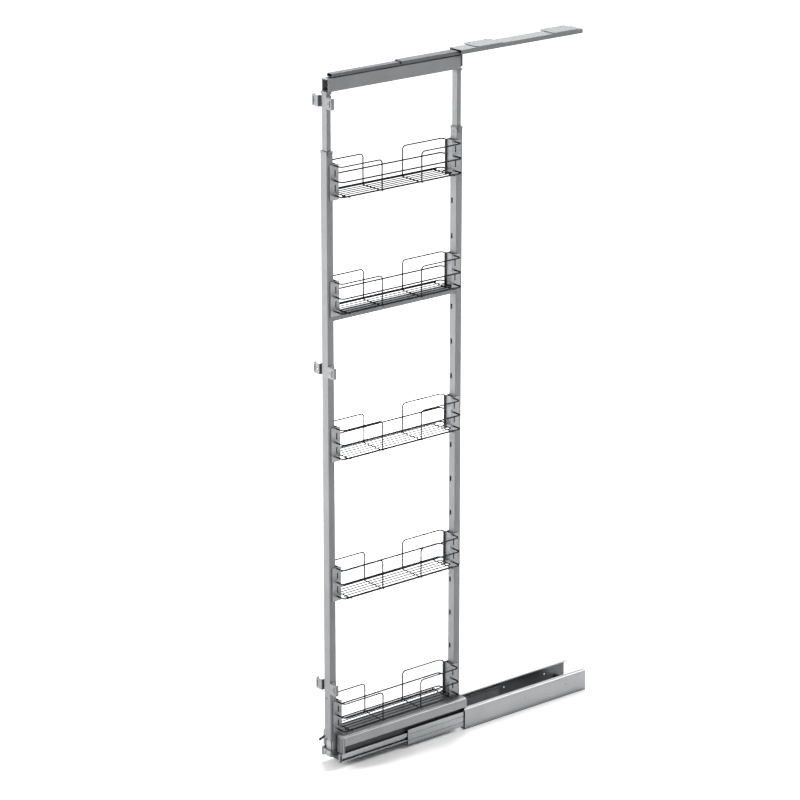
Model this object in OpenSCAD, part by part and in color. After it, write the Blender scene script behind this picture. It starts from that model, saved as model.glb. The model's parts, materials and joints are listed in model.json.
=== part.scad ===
// Pull-out larder unit for a narrow tall cabinet, drawn fully pulled out.
// X is the width, Y runs from the room into the cabinet and Z is up. The origin lies on the
// cabinet floor, on the centre line, midway between the two front fixing holes of the housing.

/* [Overall] */
// Height from the cabinet floor to the cabinet top, as the frame is set here
cabinet_height = 2114; // [2000:1:2200]
// Depth of the pull-out frame from its front face to its rear face
frame_depth = 500; // [470:5:540]
// How far the frame is pulled out of the cabinet
pull_travel = 464; // [440:4:464]
// How far the closed frame's front face stands ahead of the runner housing
front_lead = 28; // [28:1:40]

/* [Runner housing] */
// Length of the runner housing
housing_l = 495; // [475:5:510]
// Width of the runner housing over its two side profiles
housing_w = 103; // [101:1:110]
// Height of the side profiles
housing_h = 68; // [64:0.5:70]
// Sheet thickness of the side profiles
housing_t = 1.5; // [1.2:0.1:1.8]
// Outer radius of the rolled shoulder along the top of a side profile
shoulder_r = 9; // [7:0.5:9]
// Width of the race under the shoulder, from the web to the edge of the lip
race_w = 11.5; // [11:0.5:12]
// Thickness of the base plate
base_t = 1.5; // [1.2:0.1:2.5]
// Distance of the front fixing holes behind the housing's front edge
hole_setback = 37; // [30:1:45]
// Distance between the front and rear fixing holes
hole_pitch_y = 384; // [320:8:416]
// Distance between the left and right fixing holes
hole_pitch_x = 40; // [30:2:50]
// Diameter of a fixing hole
fixing_hole_d = 4.5; // [4:0.5:6]

/* [Lower slides] */
// Length of the middle runners and of the inner runners
runner_l = 440; // [400:5:442]
// How far the closed middle runners lie behind the housing's front edge
middle_inset = 11; // [8:1:14]
// How far the closed inner runners stand ahead of the housing's front edge
inner_lead = 8; // [5:1:9]
// Space for the balls above and below a runner
ball_gap = 5; // [4.5:0.25:5.25]
// Height of the ball track between the housing and the middle runner
outer_ball_gap = 8; // [7:0.25:8.25]
// Depth of the two beads pressed along the middle runner
bead_depth = 1; // [0.5:0.1:1.1]
// Height of the upper lip of the inner runner
inner_lip = 12; // [6:0.5:13]
// Play of a ball in its race, on each side
ball_play = 0.25; // [0.15:0.05:0.3]
// Height of the inner runners
inner_h = 26; // [22:1:27]
// Sheet thickness of the middle and inner runners
runner_t = 1.5; // [1.2:0.1:1.7]
// Gap between the web of a side profile and the web of its middle runner
web_gap = 2.6; // [2.4:0.1:3]
// Balls in each row
balls_per_row = 6; // [4:1:8]
// Length of a ball cage
cage_l = 180; // [150:5:190]

/* [Carriage] */
// Width of the carriage profile that carries the frame
carriage_w = 100; // [96:1:102]
// Height of the carriage's top above the cabinet floor
carriage_top = 103; // [100:1:105]
// Height of the carriage's side skirts
skirt_h = 30; // [26:1:31]
// Radius of the carriage's rounded top edges
carriage_r = 12; // [8:0.5:13]
// Sheet thickness of the carriage profile
carriage_t = 1.5; // [1.2:0.1:2]
// Distance from the centre line to the outside of a carriage leg
leg_x = 36.5; // [35.5:0.25:36.75]
// Thickness of the moulded front cap of the carriage
cap_t = 4; // [3:0.5:6]

/* [Uprights] */
// Width of an outer upright
upright_w = 30; // [28:1:32]
// Depth of an outer upright
upright_d = 23; // [22:0.5:26]
// Wall of an outer upright
upright_wall = 1.5; // [1.2:0.1:1.6]
// How far the tops of the uprights lie below the cabinet top
upright_drop = 234; // [223:1:238]
// Height of the lower end of the front upright
front_upright_z = 82; // [78:1:86]
// Corner radius of an upright
upright_r = 2.5; // [2:0.1:3]
// Depth of a telescopic inner tube
inner_tube_d = 15.5; // [14:0.25:15.5]
// Sliding clearance between an inner tube and the outer upright
tube_play = 1.5; // [0.5:0.1:2]
// How far an inner tube reaches down into the outer upright
tube_insertion = 200; // [160:10:260]
// Height of a slot in the uprights
slot_h = 16; // [14:1:18]
// Width of a slot in the uprights
slot_w = 7; // [6:0.5:8]
// Distance from one slot to the next
slot_pitch = 107.5; // [100:0.5:116]
// Height of the lowest slot of the regular row
slot_first = 265; // [255:1:275]
// Distance of the slot row to the left of the centre line
slot_x = 5; // [3:0.5:6]
// How far the lower edge of the cross bar lies below the rim of the fourth basket
crossbar_drop = 27; // [27:1:40]
// Height of the cross bar
crossbar_h = 21; // [16:1:21]

/* [Top] */
// Height of the top bar
bar_h = 38; // [34:1:40]
// Width of the top bar
bar_w = 28; // [27:1:32]
// Sheet thickness of the top bar
bar_t = 1.5; // [1.2:0.1:2]
// How far the web of the top bar is notched back at its front end
bar_notch = 6; // [0:1:25]
// How far the top bar stays back from the front and rear of the uprights
bar_inset = 2; // [0:0.5:3]
// Width of the inner top rail
top_inner_w = 22; // [20:0.5:24]
// Height of the inner top rail
top_inner_h = 9.5; // [9:0.5:11]
// Space beside a top rail for its balls
top_ball_gap = 4; // [3.6:0.1:4.2]
// Space over a top rail
top_rail_gap = 1.4; // [1.2:0.1:2]
// Sheet thickness of the nested top rails
top_rail_t = 1.2; // [1:0.1:1.4]
// Width of the ceiling rail fixed to the cabinet top
ceiling_w = 52; // [48:1:60]
// Height of the ceiling rail's side flanges
ceiling_h = 13; // [10:0.5:14]
// Sheet thickness of the ceiling rail
ceiling_t = 1.5; // [1.2:0.1:2]
// Length of the ceiling rail
ceiling_l = 468; // [462:1:490]
// How far the ceiling rail starts ahead of the runner housing
ceiling_lead = 8; // [4:1:12]
// Thickness of a mounting plate on the ceiling rail
plate_t = 2.2; // [2:0.1:3]
// How far a mounting plate reaches past the ceiling rail on the left
plate_reach = 14; // [12:1:24]
// Length of a mounting plate
plate_l = 100; // [90:2:110]
// Diameter of a hole in a mounting plate
plate_hole_d = 5; // [4.5:0.5:6]

/* [Baskets] */
// Height of the lowest basket's rim over the top of the carriage
basket_low = 16; // [16:1:20]
// How far the highest basket's rim lies below the tops of the uprights
basket_high = 125; // [125:1:151]
// Places of the baskets between the lowest, 0, and the highest, 1
basket_share = [0, 0.2586, 0.5226, 0.791, 1];
// Width of a basket over the centres of its outer wires
basket_w = 95; // [90:1:105]
// Height of the middle rail over the bottom rim
mid_rail_h = 43.5; // [40:0.5:48]
// Height of the top loops over the bottom rim
top_loop_h = 87; // [80:1:89]
// Distance of the loops' upright wires from the middle of the basket
loop_y = 73; // [50:1:100]
// Diameter of the rim wires and middle rails
rim_d = 4.5; // [4:0.25:5]
// Diameter of the loop wires
loop_d = 4; // [3.5:0.25:4.5]
// Diameter of the floor wires
floor_d = 3; // [2.5:0.25:3.5]
// Distance from one floor wire to the next
floor_pitch = 16; // [13:0.5:16]
// Bend radius of the wires
bend_r = 11; // [9:0.5:13]
// How far two welded wires sink into each other
weld = 0.3; // [0.2:0.05:0.5]
// Distance from an upright to the web of a basket bracket
bracket_gap = 11; // [10:0.5:12]
// Sheet thickness of the basket brackets
bracket_t = 1.5; // [1.2:0.1:1.8]
// Height of a basket bracket
bracket_h = 105; // [102:1:109]
// How far a bracket reaches below the bottom rim
bracket_drop = 13; // [11:1:14]
// Height of a bracket's hook over the bottom rim
hook_rise = 62; // [58:1:64]

/* [Door brackets] */
// Height of the lower door brackets over the lowest basket's rim
door_bracket_rise = 139; // [135:1:150]
// Place of the middle door brackets between the lowest basket and the highest
door_bracket_share = 0.6846; // [0.64:0.0001:0.72]
// Distance of the upper door brackets below the top bar
door_bracket_drop = 28; // [27:1:40]
// Height of a door bracket
door_bracket_h = 33; // [28:1:38]
// Sheet thickness of a door bracket
door_bracket_t = 2; // [1.5:0.25:2.5]
// How far a door bracket stands ahead of the front upright
door_lead = 5; // [3:0.5:8]
// Width of a door bracket's front plate
door_plate_w = 27; // [26:1:32]
// Distance from the upright to the inner edge of the front plate
door_plate_gap = 5; // [4:0.5:7]
// Diameter of the door screw hole
door_hole_d = 5; // [4.5:0.5:6]

/* [Hidden] */
$fn = 32;
// Overlap of a cutting tool past the face that it cuts
cut = 1;

// Places along Y: the closed unit is moved forward by its travel
housing_y0 = -hole_setback;
housing_y1 = housing_y0 + housing_l;
frame_y0 = housing_y0 - front_lead - pull_travel;
frame_y1 = frame_y0 + frame_depth;
middle_y0 = housing_y0 + middle_inset - pull_travel / 2;
inner_y0 = housing_y0 - inner_lead - pull_travel;
stop_gap = 2;
buffer_y0 = middle_y0 + runner_l + pull_travel / 2 + stop_gap;
buffer_l = 14;
buffer_z1 = 26;

// Runner housing
side_x = housing_w / 2;
web_x = side_x - housing_t;
race_x = web_x - race_w;
race_z0 = base_t + housing_t;
race_z1 = housing_h - housing_t;
lip_h = 1.2;
window_x = 26;
window_w = 14;
window_end = 40;
side_hole_share = [0.495, 0.834];
side_hole_y = [for (k = side_hole_share) housing_y0 + k * housing_l];
side_hole_d = 4;

// Middle and inner runners
middle_z0 = race_z0 + outer_ball_gap;
middle_z1 = race_z1 - outer_ball_gap;
middle_x1 = web_x - web_gap;
middle_x0 = race_x - 0.5;
inner_z0 = (middle_z0 + middle_z1 - inner_h) / 2;
inner_z1 = inner_z0 + inner_h;
track_gap = 1;
inner_play = 1.5;
inner_x1 = middle_x1 - runner_t - inner_play;
inner_low_lip = 4;
bead_w = 3;
bead_wall = 1;
bead_inset = 14;
tip_l = 8;
tip_wall = 2;

// Balls and their cages
ball_d = ball_gap - 2 * ball_play;
ball_inset = 3.7;
ball_x = race_x + ball_inset;
outer_ball_d = outer_ball_gap - 2 * ball_play;
outer_ball_x = race_x + 5;
outer_cage_w = 10;
pocket_play = 0.15;
cage_t = 0.9;
cage_w = 6;
cage_inset = 8;
outer_cage_y0 = housing_y0 + cage_inset;
inner_cage_y0 = middle_y0 + cage_inset;
row_inset = 12;

// Screws and rivets
screw_d = 4;
screw_play = 0.1;
screw_hole_d = screw_d + 2 * screw_play;
screw_head_d = 7;
screw_head_t = 2.2;
screw_tip = 1;
rivet_d = 5;
rivet_hole_d = rivet_d + 2 * screw_play;
rivet_head_d = 9;
rivet_head_t = 1;
rivet_inset = 40;

// Front end of the carriage, and the foot of the front upright
cap_z = 49;
rib_w = 2;
rib_d = 1.5;
rib_pitch = 7;
rib_top = carriage_top - 8;
rib_gap = 6;
foot_z0 = 36;
foot_z1 = 53;
foot_lip = 2;
foot_screw_x = 10;
foot_screw_z = 43;
foot_setback = 8;
plug_h = 26;
plug_play = 3.5;
foot_pad_t = 4;
rear_screw_x = 8;

// Uprights
half_w = upright_w / 2;
upright_top = cabinet_height - upright_drop;
rear_upright_y = frame_y1 - upright_d;
front_back_y = frame_y0 + upright_d;
notch_d = 18;
small_hole_x = -3;
small_hole_z = 219;
small_hole_d = 5;
inner_tube_w = upright_w - 2 * upright_wall - 2 * tube_play;
inner_half = inner_tube_w / 2;
tube_inset = (upright_d - inner_tube_d) / 2;
front_tube_y = frame_y0 + tube_inset;
front_tube_y1 = front_tube_y + inner_tube_d;
rear_tube_y = rear_upright_y + tube_inset;
tube_wall = 1.2;
collar_t = 5;
collar_lip = 0.5;
collar_play = 0.25;
tongue_h = 32;
tongue_gap = 0.1;
tongue_inset = 1;
ear_w = 3.5;
ear_h = 9;
ear_inset = 5;
height_screw_drop = 10;
basket_first = carriage_top + basket_low;
basket_span = upright_top - basket_high - basket_first;
basket_z = [for (k = basket_share) basket_first + k * basket_span];
crossbar_z = basket_z[3] - crossbar_drop;
cross_screw_x = 7;
cross_screw_z = crossbar_z + crossbar_h / 2 - 1;

// Door brackets
door_bracket_z = [basket_first + door_bracket_rise,
    basket_first + door_bracket_share * basket_span];
door_web_y = frame_y0 + 4;
door_y0 = frame_y0 - door_lead;
door_lip = 11;
door_screw_y = frame_y0 + 12;
door_hole_x = half_w + door_plate_gap + 10;
door_slot_inset = 7;
door_slot_h = 22;
door_slot_w = 5;

// Release lever
lever_y = frame_y0 + 12;
lever_z = 96;
lever_gap = 1;
lever_t = 3;
lever_x1 = -half_w - lever_gap;
lever_x0 = lever_x1 - lever_t;
lever_l = 28;
lever_w = 7;
lever_bead_d = 8.5;
lever_hub_d = 13;
lever_slope = 20;
lever_pin_d = 5;
lever_pin_play = 0.05;
lever_head_d = 9;
lever_head_t = 2;
lever_head_gap = 0.3;

// Nested top rails, from the cabinet top down to the top bar
plates_z = cabinet_height - plate_t;
top_outer_z1 = plates_z - ceiling_t;
top_middle_z1 = top_outer_z1 - top_rail_t - top_rail_gap;
top_inner_z1 = top_middle_z1 - top_rail_t - top_rail_gap;
top_inner_z0 = top_inner_z1 - top_inner_h;
neck_h = 2.6;
neck_l = 50;
neck_w = 10;
bar_z1 = top_inner_z0 - neck_h;
bar_z0 = bar_z1 - bar_h;
bar_lip = 6;
upper_bracket_z = bar_z0 - door_bracket_drop;
clip_h = 6;
clip_t = 1.5;
end_stop_t = 5;
end_stop_lip = 1;
end_stop_play = 0.5;
top_inner_x = top_inner_w / 2;
top_middle_x = top_inner_x + top_ball_gap + top_rail_t;
top_outer_x = top_middle_x + top_ball_gap + top_rail_t;
top_middle_z0 = top_inner_z0 + 2;
top_outer_z0 = top_middle_z0 + 1;
top_inner_y0 = inner_y0 + 4;
ceiling_y0 = housing_y0 - ceiling_lead;
top_outer_y0 = ceiling_y0 + 4;
top_outer_l = ceiling_l - 14;
top_ball_d = top_ball_gap - 2 * ball_play;
top_ball_z = top_inner_z1 - 4.5;
top_cage_t = 0.8;
top_cage_h = 6;
plate_r = 8;
plate_hole_inset = 20;
plate_hole_x = -(ceiling_w + plate_reach) / 2;
plate_lead = 60;
plate_tail = 15;
plate_y0 = [ceiling_y0 + plate_lead, ceiling_y0 + ceiling_l - plate_tail - plate_l];

// Baskets: heights are over the bottom rim, bracket depths are behind the upright
bracket_play = 0.6;
bracket_x = half_w + bracket_play;
wire_y = bracket_gap / 2;
wire_play = 0.2;
wire_end_x = bracket_x + 0.4;
bracket_back = 14;
bracket_lip = 6;
bracket_foot = 9;
window_h = 20;
bracket_window_w = 4;
hook_play = 0.3;
hook_w = 5;
hook_h = 6;
hook_t = 1.6;
hook_drop = 5;
nose_y = -upright_wall - hook_play;
rim_x = basket_w / 2;
loop_x = rim_x - rim_d / 2 - loop_d / 2 + weld;
loop_sink = 1;
basket_y0 = front_back_y + wire_y;
basket_y1 = rear_upright_y - wire_y;
basket_mid = (basket_y0 + basket_y1) / 2;
floor_inset = 24;
floor_wires = 6;
cross_inset = 4;
seat_gap = 0.05;

// ---- Shapes that several pieces use ----

// An outline in X and Z drawn out along Y
module along_y(y0, y1) {
    translate([0, y1, 0]) rotate([90, 0, 0]) linear_extrude(y1 - y0) children();
}

// An outline in X and Y drawn up along Z
module along_z(z0, z1) {
    translate([0, 0, z0]) linear_extrude(z1 - z0) children();
}

module block(x0, x1, y0, y1, z0, z1) {
    translate([x0, y0, z0]) cube([x1 - x0, y1 - y0, z1 - z0]);
}

module box2(x0, x1, y0, y1) {
    translate([x0, y0]) square([x1 - x0, y1 - y0]);
}

module rod_x(x0, x1, y, z, d) {
    translate([x0, y, z]) rotate([0, 90, 0]) cylinder(h = x1 - x0, d = d);
}

module rod_y(x, y0, y1, z, d) {
    translate([x, y0, z]) rotate([-90, 0, 0]) cylinder(h = y1 - y0, d = d);
}

module rod_z(x, y, z0, z1, d) {
    translate([x, y, z0]) cylinder(h = z1 - z0, d = d);
}

// A quarter turn of a bent wire, with its centre at the origin of the X and Y plane
module elbow(d) {
    rotate_extrude(angle = 90) translate([bend_r, 0]) circle(d = d);
}

module both_sides() {
    children();
    mirror([1, 0, 0]) children();
}

// A rectangle with round corners
module round_box2(x0, x1, y0, y1, r) {
    box2(x0 + r, x1 - r, y0, y1);
    box2(x0, x1, y0 + r, y1 - r);
    for (x = [x0 + r, x1 - r], y = [y0 + r, y1 - r]) translate([x, y]) circle(r);
}

// A square tube standing up, with round corners
module tube_z(x0, x1, y0, y1, z0, z1, wall, r) {
    along_z(z0, z1) difference() {
        round_box2(x0, x1, y0, y1, r);
        round_box2(x0 + wall, x1 - wall, y0 + wall, y1 - wall, max(r - wall, 0.3));
    }
}

// A slot with round ends standing up in a wall that faces Y
module slot_cut(x, y0, y1, z0, z1, w) {
    block(x - w / 2, x + w / 2, y0, y1, z0 + w / 2, z1 - w / 2);
    for (z = [z0 + w / 2, z1 - w / 2]) rod_y(x, y0, y1, z, w);
}

// ---- Runner housing, fixed to the cabinet floor ----

module fixing_places() {
    for (x = [-hole_pitch_x / 2, hole_pitch_x / 2], y = [0, hole_pitch_y])
        translate([x, y, 0]) children();
}

module base_plate() {
    color("silver") difference() {
        block(-web_x, web_x, housing_y0, housing_y1, 0, base_t);
        fixing_places() translate([0, 0, -cut]) cylinder(h = base_t + 2 * cut, d = fixing_hole_d);
        // Two long windows save weight between the fixing holes
        for (x = [-window_x, window_x])
            block(x - window_w / 2, x + window_w / 2, window_end, hole_pitch_y - window_end,
                -cut, base_t + cut);
    }
}

// The rolled section of the side profile on the right: foot, web, shoulder and lip
module housing_outline() {
    box2(race_x, web_x, base_t, race_z0);
    box2(web_x, side_x, 0, housing_h - shoulder_r);
    intersection() {
        difference() {
            translate([side_x - shoulder_r, housing_h - shoulder_r]) circle(shoulder_r);
            translate([side_x - shoulder_r, housing_h - shoulder_r]) circle(shoulder_r - housing_t);
        }
        box2(side_x - shoulder_r, side_x, housing_h - shoulder_r, housing_h);
    }
    if (side_x - shoulder_r > race_x) box2(race_x, side_x - shoulder_r, race_z1, housing_h);
    box2(race_x, race_x + housing_t, race_z1 - lip_h, race_z1);
}

module housing_side() {
    color("lightgray") difference() {
        along_y(housing_y0, housing_y1) housing_outline();
        for (y = side_hole_y) rod_x(web_x - cut, side_x + cut, y, inner_z1 - 7, side_hole_d);
    }
}

module housing_side_right() {
    housing_side();
}

module housing_side_left() {
    mirror([1, 0, 0]) housing_side();
}

// Rubber blocks that stop the closed middle runners
module housing_buffers() {
    color("dimgray") both_sides() along_z(race_z0, buffer_z1)
        round_box2(race_x + 1, middle_x1, buffer_y0, buffer_y0 + buffer_l, 1.5);
}

// ---- Middle runners and their balls ----

// The rolled section of a middle runner on the right
module middle_outline() {
    bead_z = [middle_z0 + bead_inset, middle_z1 - bead_inset];
    difference() {
        union() {
            box2(middle_x1 - runner_t, middle_x1, middle_z0, middle_z1);
            for (z = bead_z) box2(middle_x1 - runner_t - bead_depth, middle_x1 - bead_depth,
                z - bead_w / 2 - bead_wall, z + bead_w / 2 + bead_wall);
        }
        for (z = bead_z) box2(middle_x1 - bead_depth, middle_x1 + cut, z - bead_w / 2, z + bead_w / 2);
    }
    for (flip = [0, 1]) translate([0, flip * (middle_z0 + middle_z1)]) mirror([0, flip]) {
        box2(middle_x0, middle_x1, middle_z0, middle_z0 + runner_t);
        box2(middle_x0, middle_x0 + runner_t, middle_z0, inner_z0 - ball_gap);
        box2(middle_x0, middle_x1 - runner_t - track_gap,
            inner_z0 - ball_gap - runner_t, inner_z0 - ball_gap);
    }
}

module middle_runner() {
    color("gainsboro") along_y(middle_y0, middle_y0 + runner_l) middle_outline();
}

module middle_runner_right() {
    middle_runner();
}

module middle_runner_left() {
    mirror([1, 0, 0]) middle_runner();
}

// One strip of a cage lying flat, with its balls in it
module cage_strip(x, y0, z, d, w) {
    difference() {
        block(x - w / 2, x + w / 2, y0, y0 + cage_l, z - cage_t / 2, z + cage_t / 2);
        ball_places(y0) rod_z(x, 0, z - cage_t, z + cage_t, d + 2 * pocket_play);
    }
    ball_places(y0) translate([x, 0, z]) sphere(d = d);
}

module ball_places(y0) {
    step = (cage_l - 2 * row_inset) / (balls_per_row - 1);
    for (i = [0 : balls_per_row - 1]) translate([0, y0 + row_inset + i * step, 0]) children();
}

module outer_ball_cages() {
    color("silver") both_sides() {
        for (z = [(race_z0 + middle_z0) / 2, (race_z1 + middle_z1) / 2])
            cage_strip(outer_ball_x, outer_cage_y0, z, outer_ball_d, outer_cage_w);
    }
}

module inner_ball_cages() {
    color("silver") both_sides() {
        for (z = [inner_z0 - ball_gap / 2, inner_z1 + ball_gap / 2])
            cage_strip(ball_x, inner_cage_y0, z, ball_d, cage_w);
    }
}

// ---- Carriage with the inner runners, which carries the frame ----

// The rolled section of an inner runner on the right
module inner_outline() {
    box2(leg_x, leg_x + runner_t, inner_z0, inner_z1);
    for (z = [inner_z0, inner_z1 - runner_t]) box2(leg_x, inner_x1, z, z + runner_t);
    box2(inner_x1 - runner_t, inner_x1, inner_z1 - inner_lip, inner_z1);
    box2(inner_x1 - runner_t, inner_x1, inner_z0, inner_z0 + inner_low_lip);
}

module rivet_places() {
    for (y = [inner_y0 + rivet_inset, inner_y0 + runner_l / 2, inner_y0 + runner_l - rivet_inset])
        translate([0, y, (inner_z0 + inner_z1) / 2]) children();
}

module inner_runner() {
    color("silver") difference() {
        along_y(inner_y0, inner_y0 + runner_l) inner_outline();
        rivet_places() rod_x(leg_x - cut, leg_x + runner_t + cut, 0, 0, rivet_hole_d);
    }
}

module inner_runner_right() {
    inner_runner();
}

module inner_runner_left() {
    mirror([1, 0, 0]) inner_runner();
}

module runner_rivets() {
    x0 = leg_x - carriage_t;
    x1 = leg_x + runner_t;
    color("silver") both_sides() rivet_places() {
        rod_x(x0 - rivet_head_t, x0, 0, 0, rivet_head_d);
        rod_x(x0 - rivet_head_t, x1 + rivet_head_t, 0, 0, rivet_d);
        rod_x(x1, x1 + rivet_head_t, 0, 0, rivet_head_d);
    }
}

// Moulded tips in front of the inner runners
module runner_tips() {
    y0 = inner_y0 - tip_l;
    color("whitesmoke") both_sides() difference() {
        block(leg_x, inner_x1, y0, inner_y0, inner_z0, inner_z1);
        block(leg_x + tip_wall, inner_x1 + cut, y0 + tip_wall, inner_y0 - tip_wall,
            inner_z0 + 2 * tip_wall, inner_z1 - 2 * tip_wall);
    }
}

// Half of the rolled section of the carriage: deck, shoulder, skirt, return and leg
module carriage_outline() {
    half = carriage_w / 2;
    cx = half - carriage_r;
    cz = carriage_top - carriage_r;
    box2(0, cx, carriage_top - carriage_t, carriage_top);
    intersection() {
        difference() {
            translate([cx, cz]) circle(carriage_r);
            translate([cx, cz]) circle(carriage_r - carriage_t);
        }
        box2(cx, half, cz, carriage_top);
    }
    box2(half - carriage_t, half, carriage_top - skirt_h, cz);
    box2(leg_x - carriage_t, half, carriage_top - skirt_h, carriage_top - skirt_h + carriage_t);
    box2(leg_x - carriage_t, leg_x, inner_z0, carriage_top - skirt_h);
}

module carriage() {
    color("darkgray") difference() {
        along_y(front_back_y + cap_t, frame_y1) {
            carriage_outline();
            mirror([1, 0]) carriage_outline();
        }
        both_sides() rivet_places()
            rod_x(leg_x - carriage_t - cut, leg_x + cut, 0, 0, rivet_hole_d);
        rear_foot_places()
            rod_z(0, 0, carriage_top - carriage_t - cut, carriage_top + cut, screw_hole_d);
    }
}

// Where the rear upright is screwed down on the carriage
module rear_foot_places() {
    for (x = [-rear_screw_x, rear_screw_x]) translate([x, frame_y1 - upright_d / 2, 0]) children();
}

// Moulded cap over the front end of the carriage, ribbed beside the upright
module carriage_cap() {
    half = carriage_w / 2;
    color("gainsboro") {
        along_y(front_back_y, front_back_y + cap_t) {
            box2(-half, half, cap_z, carriage_top - carriage_r);
            box2(-half + carriage_r, half - carriage_r, cap_z, carriage_top);
            for (x = [-1, 1]) translate([x * (half - carriage_r), carriage_top - carriage_r])
                circle(carriage_r);
        }
        for (x = [half_w + rib_gap : rib_pitch : half - rib_w]) both_sides()
            block(x - rib_w / 2, x + rib_w / 2, front_back_y - rib_d, front_back_y, cap_z, rib_top);
    }
}

// Bar that joins the front ends of the carriage legs
module cross_member() {
    color("dimgray") difference() {
        block(-leg_x, leg_x, front_back_y, front_back_y + cap_t, inner_z0, cap_z);
        foot_screw_places() rod_y(0, front_back_y - cut, front_back_y + cap_t + cut, 0, screw_hole_d);
    }
}

module foot_screw_places() {
    for (x = [-foot_screw_x, foot_screw_x]) translate([x, 0, foot_screw_z]) children();
}

// Foot that holds the lower end of the front upright
module upright_foot() {
    color("lightgray") difference() {
        union() {
            block(-half_w - foot_lip, half_w + foot_lip, frame_y0 - foot_lip, front_back_y,
                foot_z0, foot_z1);
            block(-half_w, half_w, frame_y0 + foot_setback, front_back_y, foot_z1, front_upright_z);
            // Plug inside the upright
            block(-half_w + upright_wall + plug_play, half_w - upright_wall - plug_play,
                frame_y0 + upright_wall + plug_play, front_back_y - upright_wall - plug_play,
                foot_z1, front_upright_z + plug_h);
        }
        foot_screw_places()
            rod_y(0, frame_y0 - foot_lip - cut, front_back_y + cut, 0, screw_hole_d);
    }
}

module foot_screws() {
    front_y = frame_y0 - foot_lip;
    under_z = carriage_top - carriage_t;
    color("silver") {
        foot_screw_places() {
            rod_y(0, front_y - screw_head_t, front_y, 0, screw_head_d);
            rod_y(0, front_y, front_back_y + cap_t + screw_tip, 0, screw_d);
        }
        rear_foot_places() {
            rod_z(0, 0, under_z - screw_head_t, under_z, screw_head_d);
            rod_z(0, 0, under_z, carriage_top + foot_pad_t, screw_d);
        }
    }
}

// ---- Uprights and cross bar ----

// Heights of the regular slots that no basket bracket covers
function clear_of_brackets(z) =
    len([for (b = basket_z) if (z > b - bracket_drop - slot_h && z < b - bracket_drop + bracket_h) b]) == 0;
regular_slots = [for (z = [slot_first : slot_pitch : upright_top - tongue_h - slot_h])
    if (clear_of_brackets(z)) z];

// Slots in the wall from y0 to y1: the regular row, and one for each basket hook
module upright_slots(y0, y1) {
    x0 = -slot_x - slot_w / 2;
    x1 = -slot_x + slot_w / 2;
    for (z = regular_slots) block(x0, x1, y0, y1, z - slot_h / 2, z + slot_h / 2);
    for (b = basket_z) {
        z0 = b + hook_rise - hook_play;
        block(x0, x1, y0, y1, z0, z0 + slot_h);
    }
}

module height_screw_place() {
    translate([0, 0, upright_top - height_screw_drop]) children();
}

// Screw holes that both uprights have in the wall from y0 to y1
module wall_holes(y0, y1) {
    height_screw_place() rod_y(0, y0, y1, 0, screw_hole_d);
    cross_screw_places() rod_y(0, y0, y1, 0, screw_hole_d);
}

module front_upright() {
    color("lightgray") difference() {
        tube_z(-half_w, half_w, frame_y0, front_back_y, front_upright_z, upright_top,
            upright_wall, upright_r);
        upright_slots(front_back_y - upright_wall - cut, front_back_y + cut);
        wall_holes(front_back_y - upright_wall - cut, front_back_y + cut);
        // Round notch in the lower end of the front face, and a small hole above it
        rod_y(0, frame_y0 - cut, frame_y0 + upright_wall + cut, front_upright_z, notch_d);
        rod_y(small_hole_x, frame_y0 - cut, frame_y0 + upright_wall + cut, small_hole_z, small_hole_d);
        for (z = door_bracket_z) both_sides()
            rod_x(half_w - upright_wall - cut, half_w + cut, door_screw_y, z, screw_hole_d);
        rod_x(-half_w - cut, -half_w + upright_wall + cut, lever_y, lever_z,
            lever_pin_d + 2 * screw_play);
    }
}

module rear_upright() {
    color("lightgray") difference() {
        union() {
            tube_z(-half_w, half_w, rear_upright_y, frame_y1, carriage_top, upright_top,
                upright_wall, upright_r);
            // Pad at the foot that takes the screws
            block(-half_w + upright_wall / 2, half_w - upright_wall / 2,
                rear_upright_y + upright_wall / 2, frame_y1 - upright_wall / 2,
                carriage_top, carriage_top + foot_pad_t);
        }
        upright_slots(rear_upright_y - cut, rear_upright_y + upright_wall + cut);
        wall_holes(rear_upright_y - cut, rear_upright_y + upright_wall + cut);
        rear_foot_places()
            rod_z(0, 0, carriage_top - cut, carriage_top + foot_pad_t + cut, screw_hole_d);
    }
}

module cross_screw_places() {
    for (x = [-cross_screw_x, cross_screw_x]) translate([x, 0, cross_screw_z]) children();
}

// Channel between the uprights, open at the bottom, with a screwed tab at each end
module cross_bar() {
    x1 = half_w - 1;
    t = carriage_t;
    z1 = crossbar_z + crossbar_h;
    color("gray") difference() {
        union() {
            along_y(front_back_y, rear_upright_y) difference() {
                box2(-x1, x1, crossbar_z, z1);
                box2(-x1 + t, x1 - t, crossbar_z - cut, z1 - t);
            }
            block(-x1, x1, front_back_y, front_back_y + t, crossbar_z, z1);
            block(-x1, x1, rear_upright_y - t, rear_upright_y, crossbar_z, z1);
        }
        cross_screw_places() {
            rod_y(0, front_back_y - cut, front_back_y + t + cut, 0, screw_hole_d);
            rod_y(0, rear_upright_y - t - cut, rear_upright_y + cut, 0, screw_hole_d);
        }
    }
}

module cross_bar_screws() {
    y0 = front_back_y + carriage_t;
    y1 = rear_upright_y - carriage_t;
    color("silver") cross_screw_places() {
        rod_y(0, y0, y0 + screw_head_t, 0, screw_head_d);
        rod_y(0, front_back_y - upright_wall - screw_tip, y0, 0, screw_d);
        rod_y(0, y1 - screw_head_t, y1, 0, screw_head_d);
        rod_y(0, y1, rear_upright_y + upright_wall + screw_tip, 0, screw_d);
    }
}

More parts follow.
